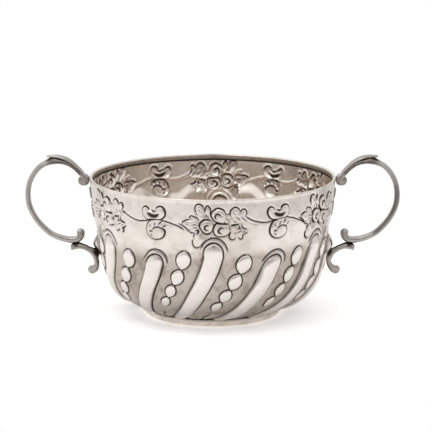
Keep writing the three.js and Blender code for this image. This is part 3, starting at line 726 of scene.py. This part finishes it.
def build_bowl():
    theta, s = grid(OUTER_ROWS)
    height, tarnish_and_shade, hollow, shine = relief(theta, s)
    height -= 0.25 * bell(TOTAL - s, 0.8)
    outer = place(theta, s, height)
    theta_in, s_in = grid(INNER_ROWS)
    height_in, tarnish_and_shade_in, hollow_in, _ = relief(theta_in, s_in)
    height_in *= smooth((s_in - 2.3) / 0.9)
    tarnish_and_shade_in = tarnish_and_shade_inside(height_in, tarnish_and_shade_in, s_in)
    height_in -= 1.25 * drawn_in(laid_out(theta_in), s_in)
    wall = np.interp(INNER_ROWS, LIP_DEPTHS, LIP_WALLS)[:, None]
    inner = place(theta_in, s_in, height_in - wall)
    edge = place(*grid(EDGE_ROWS), -EDGE_INWARDS[:, None])
    rows = np.concatenate([outer[::-1], edge, inner])
    base = float(ground(TOTAL)[1])
    verts = np.concatenate([rows.reshape(-1, 3), [[0, 0, base + 0.25], [0, 0, base + WALL]]])
    loops, starts = ring_faces(len(rows), COLUMNS)
    travel = np.cumsum(np.linalg.norm(np.diff(rows[:, 0], axis=0), axis=1))
    travel = np.concatenate([[POLE_GAP], POLE_GAP + travel])
    v = travel / (travel[-1] + POLE_GAP)
    ob = make_mesh("bowl_silver", verts, loops, starts, ring_uv(len(rows), COLUMNS, v))

    def layer(name, outside, over_edge, within):
        """Writes an attribute: a grid for the outside and the inside, one number for the lip's edge."""
        edge_values = np.full(EDGE_ROWS.size * COLUMNS, over_edge)
        attribute(ob, name, np.concatenate([outside[::-1].ravel(), edge_values, within.ravel(), np.zeros(2)]))

    layer("tarnish_and_shade", tarnish_and_shade, 0.0, tarnish_and_shade_in)
    layer("hollow", hollow, 0.0, 0.6 * hollow_in)
    layer("shine", shine, 0.0, np.zeros_like(s_in))
    # Inside, the silver is toned warmer and darker: tarnish and painted shade
    layer("within", np.zeros_like(s), 0.15, 0.1 + 0.9 * smooth((s_in - 1.8) / 1.2))
    return ob


FOOT_COLUMNS = 240


def underside(r):
    """Height of the bowl's underside at a radius."""
    return float(np.interp(-r, -LINE[WALL_POINTS:, 0], LINE[WALL_POINTS:, 1]))


def build_foot():
    outer, inner = FOOT_RADIUS, FOOT_RADIUS - FOOT_WIDTH
    top = underside(outer)
    # Radius, height and tarnish from the tread's inner edge, round the outside and back down the inside
    outline = np.array([
        (inner + 0.15, 0.35, 0.1), (inner + 0.35, 0.08, 0.1), (inner + 0.7, 0.0, 0.1),
        (outer - 2.2, 0.0, 0.1), (outer - 1.75, 0.1, 0.1), (outer - 1.45, 0.35, 0.1),
        (outer - 1.2, 0.9, 0.1), (outer - 0.85, 1.6, 0.1), (outer - 0.42, 2.1, 0.1),
        (outer - 0.02, 2.42, 0.0), (outer + 0.25, 2.62, 0.0), (outer - 0.02, top - 0.45, 0.05),
        (outer - 0.16, top - 0.24, 0.9), (outer - 0.5, top - 0.16, 1.0),
        (inner + 1.2, underside(inner + 1.2) - 0.02, 0.5), (inner, underside(inner) - 0.02, 0.5),
        (inner, 1.2, 0.5),
    ])[::-1]
    rows, cols = len(outline), FOOT_COLUMNS
    r, z, tarnish_and_shade = (np.repeat(outline[:, i:i + 1], cols, 1) for i in range(3))
    a = np.arange(cols) * 2 * math.pi / cols
    verts = np.stack([r * np.sin(a), -r * np.cos(a), z], -1).reshape(-1, 3)
    i, j = np.meshgrid(np.arange(rows), np.arange(cols), indexing="ij")
    row, next_row, k = i * cols, (i + 1) % rows * cols, (j + 1) % cols
    quads = np.stack([row + j, row + k, next_row + k, next_row + j], -1).reshape(-1, 4)
    ob = make_mesh("foot_silver", verts, quads.ravel(), np.arange(len(quads)) * 4, None, SHARP)
    attribute(ob, "tarnish_and_shade", tarnish_and_shade)
    return ob


# Section of a strap: shares of half the width across, and of half the thickness outwards
SECTION = np.array([
    (-0.62, -0.96), (-0.3, -1), (0, -1), (0.3, -1), (0.62, -0.96), (0.84, -0.86), (0.96, -0.6), (1, -0.22),
    (0.98, 0.02), (0.9, 0.34), (0.72, 0.66), (0.48, 0.86), (0.24, 0.97), (0, 1), (-0.24, 0.97),
    (-0.48, 0.86), (-0.72, 0.66), (-0.9, 0.34), (-0.98, 0.02), (-1, -0.22), (-0.96, -0.6), (-0.84, -0.86),
])
ACROSS, OUTWARDS = SECTION.T
END_ROUNDS = (0.3, 0.55, 0.76, 0.9, 0.98)  # places of the rings that round an end, as shares of its length


def strap(name, path, width, thickness, side, lift=None, end_push=0.95):
    """A strap swept along a path in the XZ plane, crowned on the path's left, with rounded ends.

    Width, thickness and lift, which is a rise of the crowned side, are functions of the share of the path.
    Side is 1 on the right and -1 on the left, where the strap is turned half round the bowl's axis."""
    p = np.array(path, float)
    d = unit(np.gradient(p, axis=0))
    out = np.stack([-d[:, 1], d[:, 0]], 1)
    at = lengths(p)
    share = at / at[-1]
    w, t = width(share) / 2, thickness(share) / 2
    more = 0 * t if lift is None else lift(share)
    depth = OUTWARDS[None, :] * t[:, None] + np.clip(OUTWARDS, 0, 1)[None, :] * more[:, None]
    rings = np.stack([
        p[:, None, 0] + out[:, None, 0] * depth,
        ACROSS[None, :] * w[:, None],
        p[:, None, 1] + out[:, None, 1] * depth,
    ], -1)

    def ahead(i, push):
        return np.array([d[i, 0] * push, 0, d[i, 1] * push])

    def rounded(i, sign, reach):
        centre = rings[i].mean(0)
        return np.array([
            centre + (rings[i] - centre) * math.sqrt(1 - q * q) + ahead(i, sign * q * t[i] * reach)
            for q in END_ROUNDS
        ])

    rings = np.concatenate([rounded(0, -1, 0.95)[::-1], rings, rounded(-1, 1, end_push)])
    poles = np.stack([rings[0].mean(0) - ahead(0, 0.02), rings[-1].mean(0) + ahead(-1, 0.02)])
    verts = np.concatenate([rings.reshape(-1, 3), poles])
    if side < 0:
        verts[:, :2] *= -1
    loops, starts = ring_faces(len(rings), len(SECTION))
    return make_mesh(name, verts, loops, starts, None, SHARP)


# Centre lines of the right handle's straps as (mm out from the bowl's axis, mm up), and their thickness in
# mm at shares of their length
MAIN_LINE = [
    (57.7, 59.9), (57.5, 61.2), (58.4, 62.5), (59.9, 64.0), (61.9, 66.0), (64.6, 67.75), (67.5, 68.6),
    (70.75, 68.65), (74.2, 67.9), (77.3, 66.2), (80.2, 62.8), (82.2, 58.4), (82.9, 52.8), (81.9, 47.2),
    (78.7, 41.3), (73.4, 35.9), (68.0, 33.35), (63.9, 32.6), (61.4, 32.75), (59.9, 33.7), (59.4, 35.0),
    (59.4, 36.2),
]
MAIN_THICKNESS = [
    (0, 5.2), (0.014, 4.9), (0.035, 2.3), (0.07, 1.9), (0.16, 2.2), (0.3, 2.3), (0.8, 2.4), (0.9, 2.75),
    (0.95, 3.0), (0.985, 3.5), (1, 3.5),
]
CAP_LINE = [
    (57.0, 61.7), (58.3, 63.75), (60.5, 66.05), (63.0, 68.3), (66.0, 70.0), (69.3, 70.85), (71.9, 70.95),
    (73.7, 70.9),
]
CAP_THICKNESS_ALONG = [(0, 0.5), (0.12, 1.05), (0.6, 1.45), (0.85, 1.3), (1, 0.9)]
BRACKET_LINE = [
    (54.5, 18.85), (53.4, 19.3), (52.6, 20.4), (52.3, 22.2), (52.75, 24.4), (54.2, 26.9), (56.7, 28.8),
    (59.5, 29.75), (61.7, 29.5), (63.7, 28.95),
]
BRACKET_THICKNESS_ALONG = [
    (0, 4), (0.07, 3.53), (0.15, 2.62), (0.25, 2.39), (0.75, 2.28), (0.9, 2.17), (1, 2.3),
]
SOLDER_ALONG = [
    (0, 0), (0.31, 0), (0.37, 1.0), (0.44, 1.3), (0.49, 1.2), (0.54, 0.5), (0.6, 0.1), (0.74, 0.2),
    (0.82, 0.6), (0.92, 0.9), (0.97, 0.6), (1, 0.1),
]
RIGHT_BALL_OUT = 1.2  # mm by which the right bracket's lower end stands further out than the left one's
# Tarnish round the loops, and painted shade that makes the right loop darker
LOOP_TARNISH_AND_SHADE = {1: 0.4, -1: 0.12}  # round the right and the left loop


def along_line(pairs):
    where, values = np.array(pairs, float).T
    return lambda share: np.interp(share, where, values)


def tapered(share, first, last, ends):
    """1, falling to the value ends over the first and last shares of a strap."""
    rise = np.minimum(smooth(share / first), smooth((1 - share) / last))
    return ends + (1 - ends) * rise


def stain_and_shade(ob, values):
    """Tarnish and painted shade on a strap: values holds one row for each ring along its path, and one column
    round it.
    """
    ends = len(END_ROUNDS)
    rows = np.concatenate([np.repeat(values[:1], ends, 0), values, np.repeat(values[-1:], ends, 0)])
    attribute(ob, "tarnish_and_shade", np.concatenate([rows.ravel(), rows[0, :1], rows[-1, :1]]))


def build_loop(side, word):
    path = curve_through(MAIN_LINE)
    ob = strap(
        f"{word}_handle_loop", path, lambda t: STRAP_WIDTH * tapered(t, 0.06, 0.06, 0.86),
        along_line(MAIN_THICKNESS), side, lambda t: 0.9 * bell(t - 0.238, 0.028),
    )
    share = np.linspace(0, 1, len(path))
    # Tarnish and painted shadow under the cap, painted shadow behind the cap's tip, darker at the bracket's
    # joint and a little on the inner face, tarnish on the roll, and round the loop tarnish with painted shade
    # on the right one
    # Tarnish and painted shadow under the cap
    sheltered = smooth((share - 0.03) / 0.03) * smooth((0.31 - share) / 0.07)
    joint = smooth((share - 0.87) / 0.03) * smooth((0.955 - share) / 0.02)
    # Painted shadow behind the cap's tip
    wedge = bell(share - 0.245, 0.034)
    roll = 0.25 * smooth((0.05 - share) / 0.03)
    loop = LOOP_TARNISH_AND_SHADE[side] * smooth((share - 0.38) / 0.1) * smooth((0.85 - share) / 0.1)
    crowned = smooth((OUTWARDS - 0.2) / 0.5)
    under = smooth((0.35 - OUTWARDS) / 0.5)
    dark = np.maximum(0.47 * sheltered[:, None], np.maximum(joint, wedge)[:, None] * crowned)
    stain_and_shade(ob, dark + (roll + loop)[:, None] + 0.12 * under)
    return ob


def build_cap(side, word):
    path = curve_through(CAP_LINE)
    ob = strap(
        f"{word}_handle_cap", path, lambda t: STRAP_WIDTH * tapered(t, 0.01, 0.4, 0.5),
        along_line(CAP_THICKNESS_ALONG), side,
    )
    share = np.linspace(0, 1, len(path))
    # Tarnish on the cap's underside, with painted shadow deepening towards its tip
    towards_tip = 0.15 + 0.6 * smooth((share - 0.75) / 0.15)
    stain_and_shade(ob, towards_tip[:, None] * smooth((-0.2 - OUTWARDS) / 0.4))
    return ob


def build_bracket(side, word):
    path = curve_through(BRACKET_LINE)
    share = np.linspace(0, 1, len(path))
    if side > 0:
        path[:, 0] += RIGHT_BALL_OUT * smooth(1 - share / 0.3)
    ob = strap(
        f"{word}_handle_bracket", path, lambda t: STRAP_WIDTH * 0.9 * tapered(t, 0.1, 0.1, 0.8),
        along_line(BRACKET_THICKNESS_ALONG), side, along_line(SOLDER_ALONG), 0.3,
    )
    solder = np.maximum(bell(share - 0.43, 0.085), 0.9 * bell(share - 0.88, 0.07))
    along_top = smooth((share - 0.36) / 0.08) * smooth((1.0 - share) / 0.08)
    soldered = solder[:, None] * smooth((OUTWARDS + 0.05) / 0.3)
    stain_and_shade(ob, np.maximum(soldered, along_top[:, None] * smooth((OUTWARDS - 0.7) / 0.15)))
    return ob


# Materials

class Nodes:
    """A shader's nodes. A value given to them is a number, a colour or the output of another node."""

    def __init__(self, owner):
        owner.use_nodes = True
        self.tree = owner.node_tree

    def add(self, kind, **settings):
        made = self.tree.nodes.new(kind)
        for word, setting in settings.items():
            setattr(made, word, setting)
        return made

    def put(self, socket, value):
        if isinstance(value, bpy.types.NodeSocket):
            self.tree.links.new(value, socket)
        elif isinstance(value, tuple):
            socket.default_value = (*value, 1)
        else:
            socket.default_value = value

    def fill(self, made, values):
        """Puts values on a node's inputs, which are given by name or number."""
        for key, value in values.items():
            self.put(made.inputs[key], value)

    def math(self, kind, *values, clamp=True):
        made = self.add("ShaderNodeMath", operation=kind, use_clamp=clamp)
        self.fill(made, dict(enumerate(values)))
        return made.outputs[0]

    def plus(self, a, b):
        return self.math("ADD", a, b)

    def less(self, a, b):
        return self.math("SUBTRACT", a, b)

    def times(self, a, b):
        return self.math("MULTIPLY", a, b)

    def spread(self, value, a, b, c, d):
        """Goes smoothly from c to d while the value goes from a to b, and stays level beyond."""
        made = self.add("ShaderNodeMapRange", interpolation_type="SMOOTHSTEP")
        self.fill(made, {"Value": value, "From Min": a, "From Max": b, "To Min": c, "To Max": d})
        return made.outputs["Result"]

    def mix(self, factor, a, b):
        made = self.add("ShaderNodeMix", data_type="RGBA")
        self.fill(made, {"Factor": factor, "A": a, "B": b})
        return made.outputs["Result"]

    def noise(self, where, scale, detail, roughness):
        made = self.add("ShaderNodeTexNoise")
        self.fill(made, {"Vector": where, "Scale": scale, "Detail": detail, "Roughness": roughness})
        return made.outputs["Fac"]

    def attribute(self, name):
        return self.add("ShaderNodeAttribute", attribute_name=name).outputs["Fac"]

    def by_ray(self, levels):
        """A number for each of these kinds of ray, and nought for the rest."""
        path = self.add("ShaderNodeLightPath")
        total = 0
        for ray, level in levels.items():
            total = self.math("MULTIPLY_ADD", path.outputs[ray], level, total, clamp=False)
        return total


def silver(name, clean, rough, ink_from, ink_to, embossed=False):
    """Old polished silver, finely scratched, with patches of tarnish and painted shade where its darkness
    attribute is high.

    An embossed piece is also duller in its hollows, with tarnish and painted shade, warmer and darker inside
    with tarnish and painted shade, and brighter on its high spots."""
    material = bpy.data.materials.new(name)
    nodes = Nodes(material)

    def toned(*shares):
        return tuple(c * k for c, k in zip(clean, shares))

    plus, less, times, mix, spread = nodes.plus, nodes.less, nodes.times, nodes.mix, nodes.spread
    where = nodes.add("ShaderNodeTexCoord").outputs["Object"]
    clouds = spread(nodes.noise(where, 34, 3, 0.55), 0.42, 0.68, 0, 1)
    specks = spread(nodes.noise(where, 230, 3, 0.6), 0.46, 0.7, 0, 1)
    grain = nodes.noise(where, 420, 4, 0.6)
    fine = nodes.noise(where, 1900, 2, 0.5)
    colour = mix(times(clouds, 0.8), clean, toned(0.86, 0.84, 0.81))
    colour = mix(times(specks, 0.5), colour, toned(0.72, 0.69, 0.66))
    roughness = spread(clouds, 0, 1, rough, rough + 0.09)
    # The darkness attribute holds tarnish and also painted shade
    broken = plus(nodes.attribute("tarnish_and_shade"), times(less(grain, 0.5), 0.3))
    tarnish_and_shade = spread(broken, ink_from, ink_to, 0, 1)
    if embossed:
        hollow, within, shine = (nodes.attribute(word) for word in ("hollow", "within", "shine"))
        colour = mix(times(shine, 0.75), colour, POLISHED)
        # The hollows take the colour of tarnish, with painted shade beside the flutes
        mottled = plus(times(clouds, 0.45), times(specks, 0.75))
        patchy = times(hollow, spread(mottled, 0, 1, 0.62, 1.0))
        colour = mix(patchy, colour, toned(0.39, 0.352, 0.31))
        # Inside the bowl the colour is toned warmer and darker: tarnish and painted shade
        colour = mix(times(within, 0.5), colour, toned(0.95, 0.895, 0.825))
        roughness = plus(roughness, times(tarnish_and_shade, 0.3))
        roughness = plus(roughness, times(hollow, 0.08))
        roughness = less(roughness, times(shine, 0.1))
    bump = nodes.add("ShaderNodeBump")
    scratches = plus(times(grain, 0.7), times(fine, 0.3))
    nodes.fill(bump, {"Strength": 0.35, "Distance": 0.00006, "Height": scratches})
    nodes.fill(nodes.tree.nodes["Principled BSDF"], {
        "Metallic": 1.0,
        "Base Color": mix(tarnish_and_shade, colour, TARNISH_AND_SHADE_COLOUR),
        "Roughness": plus(roughness, spread(grain, 0.35, 0.7, 0, 0.06)),
        "Normal": bump.outputs["Normal"],
    })
    return material


POLISHED = (0.815, 0.768, 0.727)
# The colour of tarnish, also used for painted shade
TARNISH_AND_SHADE_COLOUR = (0.055, 0.042, 0.034)
BOWL_SILVER = silver("bowl_silver", (0.8, 0.746, 0.704), 0.2, 0.22, 0.8, embossed=True)
# Painted light: the foot's silver is made lighter than the bowl's, to make up for the shade it mirrors
FOOT_SILVER_BRIGHTENED = silver("foot_silver", (1.0, 0.94, 0.89), 0.66, 0.1, 0.9)
# Painted shade: the handles' silver is made darker than the bowl's
HANDLE_SILVER_SHADED = silver("handle_silver", (0.45, 0.424, 0.402), 0.24, 0.1, 0.9)

bowl = build_bowl()
bowl.data.materials.append(BOWL_SILVER)
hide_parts("bowl")
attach(bowl, "root")

foot = build_foot()
foot.data.materials.append(FOOT_SILVER_BRIGHTENED)
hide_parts("foot_ring")
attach(foot, "root")

STRAPS = {"main_scroll": build_loop, "cap_strap": build_cap, "bracket_scroll": build_bracket}
for side, word in ((1, "right"), (-1, "left")):
    for node_name, build in STRAPS.items():
        ob = build(side, word)
        ob.data.materials.append(HANDLE_SILVER_SHADED)
        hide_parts(f"{word}_{node_name}")
        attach(ob, "root")


# Stage, light and camera

FLOOR_RADIUS = 0.165
FLOOR_GLOW = 0.365  # as the camera sees the floor
METAL_GLOW = 0.13  # as the metal mirrors it
# The photograph's camera, fitted to the rim, the foot and the outline. Its long lens is given in pixels.
CAMERA_DISTANCE = 1.0
CAMERA_ELEVATION = 12.556
CAMERA_WAY = (0, -1, 0.223)  # the direction in which it stands
AIM_HEIGHT = 0.031
PHOTO_PIXELS = 432
FOCAL_PIXELS = 2216.0
PHOTO_CENTRE = (212.52, 243.17)
SENSOR = 36


def build_floor():
    """A white floor that also glows, but less in the metal, so that its mirror image doesn't wash out."""
    bpy.ops.mesh.primitive_circle_add(vertices=96, radius=FLOOR_RADIUS, fill_type="NGON")
    ob = bpy.context.object
    ob.name = "floor"
    material = bpy.data.materials.new("floor_white")
    nodes = Nodes(material)
    nodes.tree.nodes.clear()
    out = nodes.add("ShaderNodeOutputMaterial")
    diffuse = nodes.add("ShaderNodeBsdfDiffuse")
    nodes.fill(diffuse, {"Color": (0.92, 0.92, 0.92)})
    glow = nodes.add("ShaderNodeEmission")
    levels = {"Is Camera Ray": FLOOR_GLOW, "Is Glossy Ray": METAL_GLOW, "Is Transmission Ray": FLOOR_GLOW}
    nodes.fill(glow, {"Strength": nodes.by_ray(levels)})
    both = nodes.add("ShaderNodeAddShader")
    nodes.fill(both, {0: diffuse.outputs[0], 1: glow.outputs[0]})
    nodes.fill(out, {"Surface": both.outputs[0]})
    ob.data.materials.append(material)


def build_world():
    """A white room, darker in front, where the camera stands, so that the metal shows its form."""
    world = bpy.data.worlds.new("studio")
    bpy.context.scene.world = world
    nodes = Nodes(world)
    nodes.tree.nodes.clear()
    out = nodes.add("ShaderNodeOutputWorld")
    direction = nodes.add("ShaderNodeTexCoord").outputs["Generated"]
    split = nodes.add("ShaderNodeSeparateXYZ")
    nodes.fill(split, {0: direction})
    x, y, z = split.outputs

    def product(value, *others):
        for other in others:
            value = nodes.math("MULTIPLY", value, other, clamp=False)
        return value

    ahead = nodes.spread(y, -0.3, -0.85, 0.0, 1.0)
    below_top = nodes.spread(z, 0.4, 0.15, 0.0, 1.0)
    above_floor = nodes.spread(z, -0.32, -0.08, 0.0, 1.0)
    band = nodes.spread(product(below_top, above_floor, ahead), 0.0, 1.0, 1.0, 0.68)
    facing = nodes.add("ShaderNodeVectorMath", operation="DOT_PRODUCT")
    nodes.fill(facing, {0: direction, 1: [c / math.hypot(*CAMERA_WAY) for c in CAMERA_WAY]})
    camera_spot = nodes.spread(facing.outputs["Value"], math.cos(0.24), math.cos(0.09), 1.0, 0.1)
    height = nodes.spread(z, 0.3, 0.8, 0.95, 1.15)
    side = nodes.spread(x, -0.9, 0.9, 1.0, 0.82)
    room = nodes.add("ShaderNodeBackground")
    nodes.fill(room, {"Color": (1, 0.99, 0.98), "Strength": product(band, camera_spot, height, side)})
    white = nodes.add("ShaderNodeBackground")
    nodes.fill(white, {"Color": (1, 1, 1), "Strength": 1.0})
    seen = nodes.by_ray({"Is Camera Ray": 1, "Is Transmission Ray": 1})
    pick = nodes.add("ShaderNodeMixShader")
    nodes.fill(pick, {"Fac": seen, 1: room.outputs[0], 2: white.outputs[0]})
    nodes.fill(out, {"Surface": pick.outputs[0]})


def build_softbox():
    """A square lamp above and to the left, in front of the cup."""
    spot, aim = Vector((-0.25, -0.15, 0.9)), Vector((0, 0, 0.03))
    light = bpy.data.lights.new("softbox", "AREA")
    light.size = 0.5
    light.energy = 1.3
    ob = linked("softbox", light)
    ob.location = spot
    ob.rotation_euler = (aim - spot).to_track_quat("-Z", "Y").to_euler()


def build_camera():
    """The photograph's view: one metre from the bowl's middle, 12.6 degrees above it, with a long lens."""
    up = math.radians(CAMERA_ELEVATION)
    camera = bpy.data.cameras.new("camera")
    camera.sensor_width = SENSOR
    camera.lens = SENSOR * FOCAL_PIXELS / PHOTO_PIXELS
    camera.clip_start = 0.05
    ob = linked("camera", camera)
    ob.location = (0, -CAMERA_DISTANCE * math.cos(up), AIM_HEIGHT + CAMERA_DISTANCE * math.sin(up))
    turn, tilt = (math.atan((c - PHOTO_PIXELS / 2) / FOCAL_PIXELS) for c in PHOTO_CENTRE)
    ob.rotation_euler = (math.pi / 2 - up + tilt, 0, turn)
    bpy.context.scene.camera = ob


build_floor()
build_world()
build_softbox()
build_camera()
bpy.context.scene.view_settings.view_transform = "Standard"
